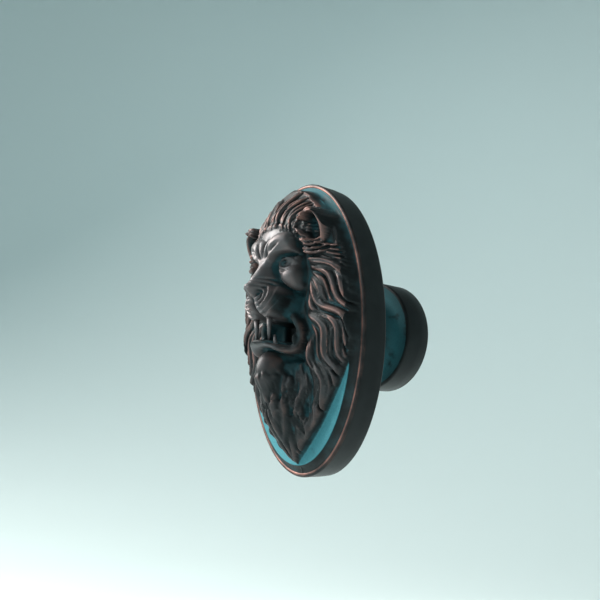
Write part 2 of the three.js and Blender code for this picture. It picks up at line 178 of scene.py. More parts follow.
def beside(path, reach):
    """The map's window within reach of a path, its points' distance to the left and place along."""
    low = path[:, :2].min(0) - reach
    high = path[:, :2].max(0) + reach
    cols = slice(*np.searchsorted(columns, (low[0], high[0])))
    lines = slice(*np.searchsorted(rows, (low[1], high[1])))
    x, z = S[lines, cols], Z[lines, cols]
    gap = np.full(x.shape, np.inf)
    side = np.zeros(x.shape)
    place = np.zeros(x.shape)
    count = len(path) - 1
    for i in range(count):
        (ax, az), (bx, bz) = path[i, :2], path[i + 1, :2]
        dx, dz = bx - ax, bz - az
        t = np.clip(((x - ax) * dx + (z - az) * dz) / (dx * dx + dz * dz), 0, 1)
        here = np.hypot(x - ax - dx * t, z - az - dz * t)
        nearer = here < gap
        gap = np.where(nearer, here, gap)
        side = np.where(nearer, np.sign(dx * (z - az) - dz * (x - ax)), side)
        place = np.where(nearer, (i + t) / count, place)
    return (lines, cols), gap * np.where(side == 0, 1, side), place


print("a path of 3 stops has", len(smooth_path([(0, 0), (1, 2), (3, 3)], 8)), "points")

# %% Rolls, creases and blur
PATH_STEPS = 8


def roll(height, stops, radius, fillet=0.0):
    """Lays a roll of flesh or skin along (x, z, height) stops."""
    path = smooth_path(stops, PATH_STEPS)
    window, gap, place = beside(path, radius)
    level = np.interp(place, np.linspace(0, 1, len(path)), path[:, 2])
    tube = level - radius + np.sqrt(np.maximum(0, radius**2 - gap**2))
    tube = np.where(np.abs(gap) < radius, tube, FAR_BELOW)
    here = height[window]
    height[window] = join(here, tube, fillet) if fillet else np.maximum(here, tube)


def crease(height, stops, width, depth):
    """Cuts a soft groove along (x, z) stops that fades out at both ends."""
    path = smooth_path(stops, PATH_STEPS)
    window, gap, place = beside(path, 2.5 * width)
    fade = np.sin(math.pi * np.clip(place, 0.02, 0.98)) ** 0.6
    height[window] -= depth * np.exp(-((gap / width) ** 2)) * fade


def blurred(height, reach):
    """The height map averaged over a bell-shaped neighbourhood, mirrored at the middle line."""
    steps = int(3 * reach / STEP)
    bell = np.exp(-0.5 * (np.arange(-steps, steps + 1) * STEP / reach) ** 2)
    bell /= bell.sum()
    wide = np.pad(height, ((steps, steps), (steps, 0)), mode="reflect")
    wide = np.pad(wide, ((0, 0), (0, steps)), mode="edge")
    wide = np.apply_along_axis(np.convolve, 0, wide, bell, mode="valid")
    return np.apply_along_axis(np.convolve, 1, wide, bell, mode="valid")


print("a 1 mm blur reaches", int(3 / STEP), "steps each way")

# %% [markdown]
# ## Hair as overlapping locks
# Bronze hair isn't made of single hairs. The modeller lays down locks, each a rounded ribbon that
# swells from its root, sways and runs out to a point, and then scores two or three grooves along it.
# Each lock here is laid over the ones before it, in a small trench of its own, which gives the crisp
# dark line where one lock crosses another.

# %% Lock of hair
LOCK_HALF_WIDTH = 0.9
LOCK_LIFT = 1.2
LOCK_STOPS = 26
WAVE_LENGTH = 8.4
WAVE_AT = -2.0
SWELLING_SHARE = 0.35
ROOT_SHARE = 0.22
TRENCH_WIDTH = 0.22
TRENCH_REACH = 0.6
TRENCH_END = 0.97


def lock(
    height, base, root, tip, bow=0.0, wave=0.0, shift=0.0, hook=0.0, wide=LOCK_HALF_WIDTH,
    lift=LOCK_LIFT, tip_lift=None, grooves=3, score=0.12, trench=0.35, root_drop=0.9,
):
    """Lays one lock from root to tip over the hair's base surface."""
    t = np.linspace(0, 1, LOCK_STOPS)[:, None]
    root, tip = np.array(root, float), np.array(tip, float)
    line = root + (tip - root) * t
    along = (tip - root) / np.linalg.norm(tip - root)
    outward = np.array([-along[1], along[0]])
    outward *= 1 if outward[0] >= 0 else -1
    swing = np.cos(2 * math.pi * (line[:, 1:] - WAVE_AT - shift) / WAVE_LENGTH)
    off = bow * np.sin(math.pi * t) + wave * swing * np.sin(math.pi * t) ** 0.6 + hook * t**5
    window, gap, place = beside(line + outward * off, wide + TRENCH_REACH)
    half = wide * mix(0.5, 1, ease(place / SWELLING_SHARE)) * (1 - place**2.6) ** 0.75 + 1e-3
    q = np.clip(gap / half, -1, 1)
    tip_lift = lift if tip_lift is None else tip_lift
    crown = mix(lift, tip_lift, place) * (1 - q * q) ** 0.6 - root_drop * (1 - ease(place / ROOT_SHARE))
    comb = score * np.cos(math.pi * grooves * q) * (1 - np.abs(q)) ** 0.3
    body = base[window] + (crown + comb) * np.sqrt(half / wide)
    outside = np.abs(gap) - half
    ramp = (outside > 0) * (place < TRENCH_END) * ease((place - 0.05) / 0.2)
    here = height[window] - trench * np.exp(-((outside / TRENCH_WIDTH) ** 2)) * ramp
    height[window] = np.where(outside < 0, np.maximum(here, body), here)


print("one lock is", 2 * LOCK_HALF_WIDTH, "mm wide unless it says otherwise")

# %% [markdown]
# ## The mane
# Three swellings carry the hair: the crown behind the forehead, the beard under the jaw and a thin
# sheet between them. The locks then follow the way a mane grows: up and back from the hairline,
# round the ears, down past the cheeks in slow waves, and together again at the beard's tip. Curves
# over the height are written as (height, value) stations, and places as (side, height).

# %% Base of the mane
MANE_HALF_WIDTH = 14.2
MANE_TOP = 24.3
MANE_THICKNESS = 0.6
MANE_MIDDLE = 1.3
MANE_OUTLINE = [
    (24.0, 0.0), (22.6, 3.8), (20.3, 6.2), (17.6, 9.0), (15.7, 10.6), (13.3, 11.7),
    (10.6, 12.6), (8.5, 13.2), (4.9, 13.8), (0.2, 14.0), (-3.9, 13.8), (-6.4, 13.0),
    (-8.6, 11.9), (-10.8, 10.6), (-12.6, 9.3), (-16.8, 6.2), (-19.5, 3.6), (-22.9, 0.1),
]
CROWN_SWELLING = ((0, 13.5), (8.2, 9.8), 4.3)
BEARD_LINE = [(-4.0, 4.4), (-9.5, 6.6), (-12.9, 6.4), (-16.0, 4.9), (-19.0, 3.0), (-22.9, 0.4)]
BEARD_WIDTH = [(-4.0, 3.6), (-12.0, 3.9), (-22.9, 2.4)]
BEARD_TOP = -3.0

spread = (S / MANE_HALF_WIDTH) ** 2 + (Z / MANE_TOP) ** 2
mane_base = MANE_THICKNESS + MANE_MIDDLE * np.maximum(0, 1 - spread) + swell(*CROWN_SWELLING)
beard = follow(BEARD_LINE, Z) * np.exp(-((S / follow(BEARD_WIDTH, Z)) ** 2)) * ease((BEARD_TOP - Z) / 3)
mane_base = join(mane_base, mane_base * 0.4 + beard, 0.8)
mane_base *= np.sqrt(np.maximum(0.1, 1 - spread**5))
hair = mane_base.copy()
print("base of the mane, highest", round(float(mane_base.max()), 2), "mm")

# %% The two edges that side locks run between
FACE_EDGE = [(6.6, 10.6), (6.0, 7.2), (5.3, 3.6), (5.0, -0.4), (4.8, -4.4), (3.8, -8.4)]
MANE_EDGE = [(14.3, 3.0), (14.3, -3.8), (12.4, -9.2), (9.6, -13.6), (6.5, -17.9), (1.6, -22.6)]
roots = smooth_path(FACE_EDGE, 20)
tips = smooth_path(MANE_EDGE, 20)
varied = np.random.default_rng(7)


def between(path, share):
    """The point at a share of a path's length."""
    place = min(1, share) * (len(path) - 1)
    return [np.interp(place, np.arange(len(path)), path[:, k]) for k in (0, 1)]


def some(low, high):
    """A size between two limits, the same one each time the script runs."""
    return float(varied.uniform(low, high))


print("side locks start from", between(roots, 0), "to", between(roots, 1))

# %% Side locks, in a fringe and three layers
FRINGE_LOCKS = 13
SIDE_LOCKS = 9
SIDE_LAYERS = ((0.5, 0.8), (0.0, 1.1), (0.25, 1.5))
for i in range(FRINGE_LOCKS):
    t = (i + 0.5) / FRINGE_LOCKS
    root = [mix(a, b, 0.4) for a, b in zip(between(roots, t), between(tips, t - 0.12))]
    lock(
        hair, mane_base, root, between(tips, t),
        bow=some(0.4, 0.8), wave=0.8, wide=some(0.8, 1.0), lift=some(0.6, 0.8), tip_lift=0.7,
    )
for layer, (stagger, lift) in enumerate(SIDE_LAYERS):
    for i in range(SIDE_LOCKS + 1):
        t = (i + stagger) / SIDE_LOCKS
        if t > 1 or (layer == 2 and i % 2):
            continue
        lock(
            hair, mane_base, between(roots, t), between(tips, t + some(-0.02, 0.03)),
            bow=some(0.6, 1.1), wave=some(0.75, 1.15), shift=some(-0.5, 0.5),
            wide=some(0.75, 1.05), lift=lift + some(-0.1, 0.15),
        )
print("side of the mane, highest", round(float(hair.max()), 2), "mm")

# %% Locks of the jowl and the beard
JOWL_LOCKS = 6
BEARD_LOCKS = (
    ((5.6, -11.8), (0.8, -22.3), -2.5, 0.95, 1.1),
    ((5.8, -11.8), (2.0, -21.6), 2.3, 0.95, 1.1),
    ((5.2, -13.4), (1.5, -22.0), -1.3, 0.65, 0.8),
    ((5.6, -13.8), (1.8, -21.6), 0.9, 0.7, 0.9),
    ((5.0, -14.6), (1.7, -21.8), -0.1, 0.6, 1.0),
    ((3.4, -9.6), (0.6, -21.4), 1.6, 0.7, 0.7),
    ((0.3, -11.6), (0.1, -22.8), 1.5, 0.8, 0.8),
    ((1.6, -10.8), (0.2, -21.6), 0.5, 0.6, 0.9),
    ((0.2, -13.6), (0.1, -22.4), 0.5, 0.5, 1.0),
    ((2.6, -11.4), (0.5, -19.8), 0.7, 0.5, 1.1),
)
for i in range(JOWL_LOCKS):
    t = i / (JOWL_LOCKS - 1)
    root = (mix(2.6, 5.6, t), mix(-8.2, -5.4, t))
    tip = (mix(1.2, 6.2, t), mix(-18.5, -15.0, t))
    lock(
        hair, mane_base, root, tip,
        bow=mix(0.9, 0.5, t) + some(-0.2, 0.2), wave=0.35, wide=some(0.6, 0.8),
        lift=some(0.8, 1.3), tip_lift=0.9,
    )
for root, tip, bow, wide, lift in BEARD_LOCKS:
    lock(hair, mane_base, root, tip, bow=bow, wide=wide, lift=lift, trench=0.28)
print("hair laid, highest", round(float(hair.max()), 2), "mm")

# %% Locks of the temple and the curl behind the ear
TEMPLE_LOCKS = 8
CURL = [
    (8.6, 17.6, 1.7), (10.1, 15.6, 1.5), (10.8, 13.6, 1.5), (10.8, 12.0, 1.5), (9.7, 11.1, 1.8),
    (7.6, 11.3, 2.4), (6.4, 12.4, 3.2),
]
for i in range(TEMPLE_LOCKS):
    t = (i * 4 + 1) % (TEMPLE_LOCKS + 1) / TEMPLE_LOCKS
    root = (mix(5.0, 6.0, t), mix(15.0, 9.0, t))
    tip = (mix(12.2, 14.0, t), mix(11.4, 3.8, t))
    lock(
        hair, mane_base, root, tip,
        bow=mix(-1.1, 1.7, t), wave=0.3, wide=some(0.5, 0.7), lift=some(1.1, 1.6), tip_lift=0.9,
        grooves=2,
    )
roll(hair, CURL, 0.75)
crease(hair, [(x, z) for x, z, _ in CURL], 0.14, 0.35)
print("curl of", len(CURL), "stops")

# %% Ear
EAR_AT = (8.2, 14.9)
EAR_SIZE = (1.6, 2.6)
EAR_FLOOR = 0.7
EAR_SLOPE = 3.4
EAR_RIM = [
    (6.6, 16.4, 5.0), (7.4, 17.5, 5.0), (8.7, 17.3, 4.6), (9.5, 16.0, 4.1), (9.7, 14.2, 3.5),
    (9.1, 12.6, 3.0), (7.4, 12.3, 3.2),
]
EAR_TUFTS = (((7.2, 12.7), (7.0, 16.9)), ((8.1, 12.7), (7.9, 16.9)))
bowl = EAR_FLOOR + EAR_SLOPE * np.clip((EAR_AT[0] - S) / EAR_SIZE[0], 0, 1) ** 1.5
in_bowl = ease((1 - ring(EAR_AT, EAR_SIZE)) / 0.3)
hair = mix(hair, bowl, in_bowl)
roll(hair, EAR_RIM, 0.5)
for root, tip in EAR_TUFTS:
    lock(hair, bowl, root, tip, bow=0.7, wide=0.45, lift=0.9, tip_lift=0.5, grooves=1, score=0.06)
print("ear", 2 * EAR_SIZE[1], "mm tall")

# %% Valley round the face, and the mane's outline
FACE_HALF_WIDTH = [
    (17.0, 2.6), (16.0, 4.0), (15.0, 4.7), (13.4, 5.2), (10.9, 5.4), (9.4, 5.5), (7.3, 5.8),
    (5.0, 5.3), (2.6, 4.7), (0.4, 4.8), (-2.6, 5.3), (-5.2, 4.8), (-7.6, 3.0),
]
VALLEY_LEVEL = 2.3
VALLEY_WIDTH = 0.85
VALLEY_DEPTH = 0.8
TIP_FADE = 0.5
valley = np.exp(-(((S - follow(FACE_HALF_WIDTH, Z) - 0.3) / VALLEY_WIDTH) ** 2))
valley *= ease((Z + 2.5) / 2.5)
valley *= ease((13.8 - Z) / 2)
hair = mix(hair, np.minimum(hair, VALLEY_LEVEL), VALLEY_DEPTH * valley)
covered = ease((follow(MANE_OUTLINE, Z) - S) / TIP_FADE)
hair *= covered
print("hair covers", round(float(covered.mean() * 100)), "% of the map")

# %% [markdown]
# ## The face
# The face is built as a sculptor blocks it in clay: a dome for the skull, a wedge for the nose, two
# balls for the muzzle, then the sockets cut in and the lids, lips and folds rolled on. A dome is
# written as its centre, its half sizes, the level it stands on and its height.

# %% Skull, brow and cheekbone
SKULL = ((0, 11.2), (6.6, 8.2), 2.0, 4.7)
CHEEKBONE = ((3.6, 7.1), (2.4, 2.6), 2.6, 3.5)
SOCKET = ((2.8, 9.5), (1.9, 1.1), -2.6)
CHEEK_HOLLOW = ((4.7, 3.4), (1.2, 1.6), -1.0)
CHEEK_PLANE = 2.9
BROW = [(0.8, 10.8, 7.9), (2.1, 12.0, 7.9), (3.5, 12.4, 7.4), (4.7, 11.8, 6.2), (5.3, 10.6, 4.8)]
FROWN_LINES = (
    ([(0.0, 9.6), (0.0, 11.5), (0.0, 14.0)], 0.3, 0.55),
    ([(0.7, 9.6), (1.1, 11.4), (1.5, 13.6)], 0.25, 0.7),
    ([(1.8, 10.6), (2.5, 11.8), (3.6, 12.5)], 0.25, 0.7),
)
face = join(dome(*SKULL), 0 * S + CHEEK_PLANE, 0.6)
roll(face, BROW, 2.1, fillet=1.1)
for line, width, depth in FROWN_LINES:
    crease(face, line, width, depth)
face += swell(*SOCKET)
face = join(face, dome(*CHEEKBONE), 0.5)
face += swell(*CHEEK_HOLLOW)
print("skull", round(float(face.max()), 2), "mm high")

# %% Eye
EYE_AT = (3.0, 9.4)
EYEBALL = (EYE_AT, (1.3, 0.9), 4.1, 1.5)
UPPER_LID = [(1.8, 9.2, 6.2), (2.5, 10.0, 6.3), (3.6, 10.1, 5.8), (4.6, 9.4, 4.9)]
LOWER_LID = [(1.9, 9.1, 6.1), (2.5, 8.5, 5.9), (3.5, 8.4, 5.5), (4.6, 9.2, 4.8)]
POUCH = [(2.0, 8.2, 6.1), (3.0, 7.6, 5.8), (4.2, 7.8, 5.2), (5.1, 8.8, 4.4)]
POUCH_CREASE = [(2.0, 8.7), (2.9, 8.0), (4.0, 8.1), (5.0, 9.1)]
BROW_EDGE = [(0.8, 9.3, 7.8), (1.8, 10.3, 7.9), (3.0, 11.1, 7.5), (4.4, 11.6, 6.2), (5.4, 11.2, 4.8)]
BROW_SHADOW = [(1.4, 8.8), (2.1, 9.8), (3.1, 10.5), (4.5, 10.7), (6.0, 10.3)]
CHEEK_CREASE = [(1.3, 10.4), (1.5, 9.0), (1.7, 7.6), (2.2, 6.0), (3.2, 4.8), (4.6, 4.4), (5.6, 5.4)]
PUPIL = ((EYE_AT[0] + 0.15, EYE_AT[1] + 0.1), (0.3, 0.3), -0.6)
face = np.maximum(face, dome(*EYEBALL))
roll(face, UPPER_LID, 0.45)
roll(face, LOWER_LID, 0.35)
roll(face, POUCH, 0.5, fillet=0.25)
crease(face, POUCH_CREASE, 0.15, 0.4)
roll(face, BROW_EDGE, 0.8, fillet=0.5)
crease(face, BROW_SHADOW, 0.29, 2.1)
crease(face, CHEEK_CREASE, 0.38, 1.2)
face += swell(*PUPIL)
print("eye", round(height_at(face, *EYE_AT), 2), "mm high")

# %% Nose
NOSE_LINE = [
    (14.5, 4.6), (12.0, 6.2), (9.6, 7.8), (7.6, 9.1), (5.9, 10.5), (5.1, 10.9), (4.2, 10.5),
    (2.8, 9.4), (1.0, 6.0),
]
NOSE_HALF_WIDTH = [(12.0, 1.4), (8.0, 1.6), (5.6, 2.1), (4.4, 2.2), (2.8, 1.2)]
NOSE_DROP = 2.6
nose = follow(NOSE_LINE, Z) - NOSE_DROP * (S / follow(NOSE_HALF_WIDTH, Z)) ** 2.4
face = join(face, nose, 0.6)
print("nose", round(height_at(face, 0, NOSE_LINE[5][0]), 2), "mm high")

# %% Muzzle with its whisker folds
PAD_AT = (1.7, 2.8)
PAD = (PAD_AT, (2.05, 2.9), 6.4, 3.8)
PAD_SIDE = ((1.8, 2.5), (2.3, 3.1), 3.0, 3.6)
LIP_CLEFT = [(0.0, 4.6), (0.0, 2.0), (0.0, -0.6)]
FOLD_AT = (1.1, 3.6)
FOLD_HEIGHT = 1.25
FOLD_RADII = (0.8, 1.35, 1.9, 2.4)
FOLD_TURNS = [math.radians(a) for a in (115, 75, 35, 0, -35, -70, -100)]
NOSE_LEATHER = ((0, 4.6), (1.0, 0.8))
NOSTRIL = ((1.15, 3.9), (0.4, 0.5), -1.1)
NOSTRIL_WING = [(0.2, 3.6), (1.1, 4.6), (1.9, 5.4), (1.7, 6.4)]
face = join(face, join(dome(*PAD), dome(*PAD_SIDE), 1.0), 0.5)
crease(face, LIP_CLEFT, 0.22, 1.0)
for radius in FOLD_RADII:
    arc = [
        (FOLD_AT[0] + radius * math.cos(a), FOLD_AT[1] + FOLD_HEIGHT * radius * math.sin(a))
        for a in FOLD_TURNS
    ]
    crease(face, arc, 0.21, 1.5)
face += 0.25 * ease((1.5 - ring(*NOSE_LEATHER)) / 0.3) + swell(*NOSTRIL)
crease(face, NOSTRIL_WING, 0.2, 0.5)
print("muzzle", round(height_at(face, *PAD_AT), 2), "mm high")

# %% Open mouth
MOUTH_TOP = 0.4
MOUTH_FLOOR = -4.4
MOUTH_HALF_WIDTH = 4.3
MOUTH_EDGE = 0.5
THROAT_HALF_WIDTH = 1.7
GUM_LEVEL = 1.6
THROAT_LEVEL = 0.2
JAW = ((0, -3.4), (4.9, 3.4), 2.3, 5.7)
JAW_PLANE = 3.0
jaw = join(dome(*JAW), 0 * S + JAW_PLANE, 0.6)
inside = ease((Z - MOUTH_FLOOR) / MOUTH_EDGE)
inside *= ease((MOUTH_TOP - 0.15 * S - Z) / MOUTH_EDGE)
inside *= ease((MOUTH_HALF_WIDTH - S) / MOUTH_EDGE)
throat = ease((THROAT_HALF_WIDTH - S) / 0.4)
jaw = mix(jaw, mix(GUM_LEVEL, THROAT_LEVEL, throat), inside)
print("mouth", round(MOUTH_TOP - MOUTH_FLOOR, 1), "mm high and", 2 * MOUTH_HALF_WIDTH, "mm wide")

# %% Set the face into the mane, with lip and chin
HAIRLINE = 16.7
JAW_START = -0.3
JAW_END = -7.4
LIP = [
    (3.6, 0.6, 4.6), (4.5, -1.1, 4.2), (4.7, -3.2, 3.9), (4.2, -4.8, 4.9), (3.3, -5.0, 6.7),
    (2.3, -4.6, 8.0), (1.3, -4.0, 8.9), (0, -3.8, 9.3),
]
CHIN = ((0, -8.4), (2.6, 4.4), 3.4, 5.1)
CHIN_CREASE = [(-0.8, -4.7), (0.0, -4.7), (1.4, -4.9), (2.6, -5.8), (3.6, -6.4), (4.8, -6.6)]
on_face = ease((follow(FACE_HALF_WIDTH, Z) - S) / 0.6) * ease((HAIRLINE - 0.06 * S * S - Z) / 0.5)
features = mix(jaw, face, ease((Z - JAW_START) / 0.6))
relief = mix(hair, features, on_face * ease((Z - JAW_END) / 1.2))
roll(relief, LIP, 0.62, fillet=0.25)
relief = join(relief, dome(*CHIN), 0.6)
crease(relief, CHIN_CREASE, 0.42, 1.9)
print("lip", round(height_at(relief, 0, LIP[-1][1]), 2), "mm high")

# %% Strands of the chin
CHIN_STRANDS = 7
chin_base = relief.copy()
for i in range(CHIN_STRANDS):
    t = (i * 3 % CHIN_STRANDS) / (CHIN_STRANDS - 1)
    root = (mix(0.2, 2.2, t), mix(-8.4, -7.4, t) + some(-0.9, 0.6))
    tip = (mix(0.1, 1.7, t), mix(-14.0, -12.4, t) + some(-0.8, 0.8))
    lock(
        relief, chin_base, root, tip,
        bow=mix(0.2, 1.3, t), wide=some(0.35, 0.5), lift=some(0.2, 0.5), grooves=1, score=0.05,
        trench=0.25,
    )
print(CHIN_STRANDS, "strands on each half of the chin")

# %% Locks that rise from the hairline
CROWN_LOCKS = 12
TEMPLE_STRANDS = 9
crown_base = relief.copy()
for i in range(CROWN_LOCKS):
    t = (i * 5 % CROWN_LOCKS) / (CROWN_LOCKS - 1)
    root = (mix(0.3, 6.4, t), mix(15.6, 12.9, t * t) + some(-0.4, 0.5))
    tip = (mix(1.7, 8.6, t), mix(23.4, 17.2, t) + some(-0.6, 0.5))
    lock(
        relief, crown_base, root, tip,
        bow=-mix(0.7, 1.4, t) + some(-0.15, 0.15), hook=some(0.3, 1.3), wide=some(0.5, 0.75),
        lift=some(0.7, 1.35), tip_lift=some(0.7, 1.0), grooves=2, root_drop=0.45,
    )
for i in range(TEMPLE_STRANDS):
    t = (i * 4 % TEMPLE_STRANDS) / (TEMPLE_STRANDS - 1)
    root = (mix(4.2, 5.5, t), mix(15.8, 11.8, t))
    tip = (mix(6.9, 10.6, t), mix(16.9, 10.8, t))
    lock(
        relief, crown_base, root, tip,
        bow=mix(-0.2, -1.0, t), wide=some(0.4, 0.5), lift=some(0.6, 1.0), tip_lift=0.5, grooves=1,
        root_drop=0.2,
    )
print(CROWN_LOCKS, "locks and", TEMPLE_STRANDS, "strands on each half of the head")

# %% Soften the tool marks and set the nose to its height
SOFTENING = 0.12
relief = mix(relief, blurred(relief, SOFTENING), mix(0.35, 0.6, on_face))
relief *= NOSE_RELIEF / relief.max()
print("relief from", round(float(relief.min()), 2), "to", round(float(relief.max()), 2), "mm")

# %% [markdown]
# ## Where the finish has worn, where it has settled and where shade is painted
# An aged bronze is bright on its crests and green in its hollows. Both follow from the height map:
# a point that stands above the average of its neighbours is a crest, and one below it a hollow. The
# bare skin of the face has been handled and dusted to a dull grey. Painted shade is laid over this:
# beside the muzzle, at the temples and round the eyes the grey is taken out and a darker green put
# in, and the inside of the mouth and the lower locks of the mane are darkened too.

# %% Handled skin, with painted shade
FOLD_REACH = 0.6
FOLD_DEPTH = 0.4
LOCK_TOP_REACH = 0.7
LOCK_TOP_HEIGHT = 0.35
# Painted shade round the eyes and on the temples.
EYE_SHADE = (EYE_AT, (1.4, 0.9))
TEMPLE_SHADE = ((5.9, 9.6), (0.8, 4.0))
on_skin = ease((follow(FACE_HALF_WIDTH, Z) + 0.4 - S) / 0.8)
on_skin *= ease((16.0 - 0.05 * S * S - Z) / 1.2)
on_skin *= ease((Z + 6.4) / 1.6)
# Painted shade: beside the muzzle, at the temples and round the eyes the grey skin is taken out.
shade = ease((S - 2.5) / 0.9) * ease((4.8 - Z) / 1.2) * ease((Z + 6.0) / 2)
shade = shade + np.exp(-ring(*TEMPLE_SHADE) ** 2)
shade += 0.8 * np.exp(-ring(*EYE_SHADE) ** 2)
under_chin = ease((-5.0 - Z) / 3)
folds = np.clip((blurred(relief, FOLD_REACH) - relief) / FOLD_DEPTH, 0, 1)
grey_and_painted_light_map = on_skin * (1 - inside) * (1 - 0.7 * under_chin) * (1 - np.clip(shade, 0, 1)) * (1 - folds)
lock_tops = np.clip((relief - blurred(relief, LOCK_TOP_REACH)) / LOCK_TOP_HEIGHT, 0, 1) * (1 - on_skin)
# The locks' grey tops fade towards the beard: painted shade on the lower mane.
grey_and_painted_light_map = np.maximum(grey_and_painted_light_map, mix(0.35, 0.6, ease((Z + 8) / 10)) * lock_tops)
print("handled on", round(float((grey_and_painted_light_map > 0.3).mean() * 100)), "% of the map")

# %% Rubbed crests
CREST_REACH = 0.33
CREST_HEIGHT = 0.17
crests = np.clip((relief - blurred(relief, CREST_REACH)) / CREST_HEIGHT, 0, 1)
rubbed_map = (1 - inside) * (1 - 0.5 * under_chin) * crests * (1 - 0.6 * on_skin)
print("rubbed on", round(float((rubbed_map > 0.5).mean() * 100)), "% of the map")

# %% Hollows where verdigris has settled, and green laid as painted shade
HOLLOW_REACH = 1.1
HOLLOW_DEPTH = 0.48
HOLLOW_MOST = 0.8
FIELD_DEPTH = 0.25
FIELD_SETTLED = 1.2
EAR_SETTLED = 0.78
FOLD_SETTLED = 0.9
PAINTED_SHADE_GREEN = 0.5
hollows = np.clip((blurred(relief, HOLLOW_REACH) - relief) / HOLLOW_DEPTH, 0, HOLLOW_MOST)
green_and_painted_shade_map = hollows * (1 - 0.75 * on_skin * (1 - inside))
# The face's creases take verdigris, and its places of painted shade a darker green.
face_green_and_painted_shade = np.clip(FOLD_SETTLED * folds + PAINTED_SHADE_GREEN * shade, 0, HOLLOW_MOST)
green_and_painted_shade_map = np.maximum(green_and_painted_shade_map, on_skin * face_green_and_painted_shade)
# Painted shade in the open mouth: its walls take the darker green, its throat the dark metal.
green_and_painted_shade_map = mix(green_and_painted_shade_map, mix(HOLLOW_MOST, 0.2, throat), inside)
green_and_painted_shade_map = np.maximum(green_and_painted_shade_map, EAR_SETTLED * in_bowl)
open_field = FIELD_SETTLED * ease((FIELD_DEPTH - relief) / FIELD_DEPTH) * (1 - on_skin)
green_and_painted_shade_map = np.maximum(green_and_painted_shade_map, open_field)
print("green on", round(float((green_and_painted_shade_map > 0.5).mean() * 100)), "% of the map")

# %% Sample the maps at a mesh's points
INSIDE_LAST = 1.001
NOSE_TIP = (0.0, 5.0)


def sample(values, x, z):
    """A map's value between its points, the same on both halves of the head."""
    c = np.clip(np.abs(x) / STEP, 0, values.shape[1] - INSIDE_LAST)
    r = np.clip((z + MAP_HEIGHT) / STEP, 0, values.shape[0] - INSIDE_LAST)
    c0, r0 = c.astype(int), r.astype(int)
    u, v = c - c0, r - r0
    low = mix(values[r0, c0], values[r0, c0 + 1], u)
    high = mix(values[r0 + 1, c0], values[r0 + 1, c0 + 1], u)
    return mix(low, high, v)


nose_height = sample(relief, *np.array([NOSE_TIP]).T)[0]
print("nose tip sampled:", round(float(nose_height), 2), "mm")

# %% [markdown]
# ## The medallion's mesh
# A square grid is drawn out to the oval, carved, and then its long edges are split where the carving
# is steep, so the lion's cheeks get as many faces as its forehead. The rim grows out of the grid's
# border: the border is extruded again and again, and each new ring is laid on the next oval of the
# moulding, back to the flat of the plate.

# %% Grid over the field
GRID_COLUMNS = 132
GRID_ROWS = 232

bm = bmesh.new()
rubbed_layer = bm.verts.layers.float.new("rubbed")
# The handled layer holds the grey of handled skin with painted shade and the fangs' painted sheen; the
# settled layer holds verdigris with painted shade.
green_and_painted_shade_layer = bm.verts.layers.float.new("green_and_painted_shade")
grey_and_painted_light_layer = bm.verts.layers.float.new("grey_and_painted_light")
bmesh.ops.create_grid(bm, x_segments=GRID_COLUMNS, y_segments=GRID_ROWS, size=1)
for v in bm.verts:
    a, b = v.co.x, v.co.y
    v.co.x = FIELD_HALF_WIDTH * a * math.sqrt(1 - b * b / 2)
    v.co.z = FIELD_HALF_HEIGHT * b * math.sqrt(1 - a * a / 2)
    v.co.y = -FIELD_LEVEL
bmesh.ops.triangulate(bm, faces=bm.faces)
print("grid:", len(bm.faces), "faces")

# %% Carve it, and split what gets too long
LONGEST_EDGE = 0.33
SPLIT_ROUNDS = 3


def carve(verts):
    """Lifts the vertices to the relief and writes the three masks on them."""
    x = np.array([v.co.x for v in verts])
    z = np.array([v.co.z for v in verts])
    heights, *masks = (sample(m, x, z) for m in (relief, rubbed_map, green_and_painted_shade_map, grey_and_painted_light_map))
    for v, height, crest, hollow, grey_and_painted_light in zip(verts, heights, *masks):
        v.co.y = -FIELD_LEVEL - max(0.0, height)
        v[rubbed_layer] = crest
        v[green_and_painted_shade_layer] = hollow
        v[grey_and_painted_light_layer] = grey_and_painted_light


carve(list(bm.verts))
for _ in range(SPLIT_ROUNDS):
    long_edges = [e for e in bm.edges if not e.is_boundary and e.calc_length() > LONGEST_EDGE]
    made = bmesh.ops.subdivide_edges(bm, edges=long_edges, cuts=1)
    bmesh.ops.triangulate(bm, faces=bm.faces, quad_method="SHORT_EDGE")
    carve([v for v in made["geom_inner"] if isinstance(v, bmesh.types.BMVert)])
    print("split", len(long_edges), "edges,", len(bm.faces), "faces")

# %% Section of the rim and the back
BEVEL_END = 0.8
BEAD_GROOVE = (0.74, BEAD_CREST - 0.1, 0.0, 0.6)
BEAD_TOP = ((0.64, BEAD_CREST, 1.2, 0.0), (EDGE_ROUND, BEAD_CREST, 1.2, 0.0))
WALL_RINGS = (
    (0.04, BEAD_CREST - 0.8, 0.0, 0.1),
    (0.08, PLATE_BACK + 2.0, 0.0, 0.1),
    (WALL_INSET, PLATE_BACK + BACK_ARRIS, 0.05, 0.1),
)
BACK_RINGS = ((3.0, PLATE_BACK, 0.0, 0.05), (9.0, PLATE_BACK, 0.0, 0.05))
BEVEL_STEPS = 7
EDGE_STEPS = 5
ARRIS_STEPS = 4
BEVEL_SETTLED = 0.45
EDGE_RUBBED = 0.5
ARRIS_RUBBED = 0.3


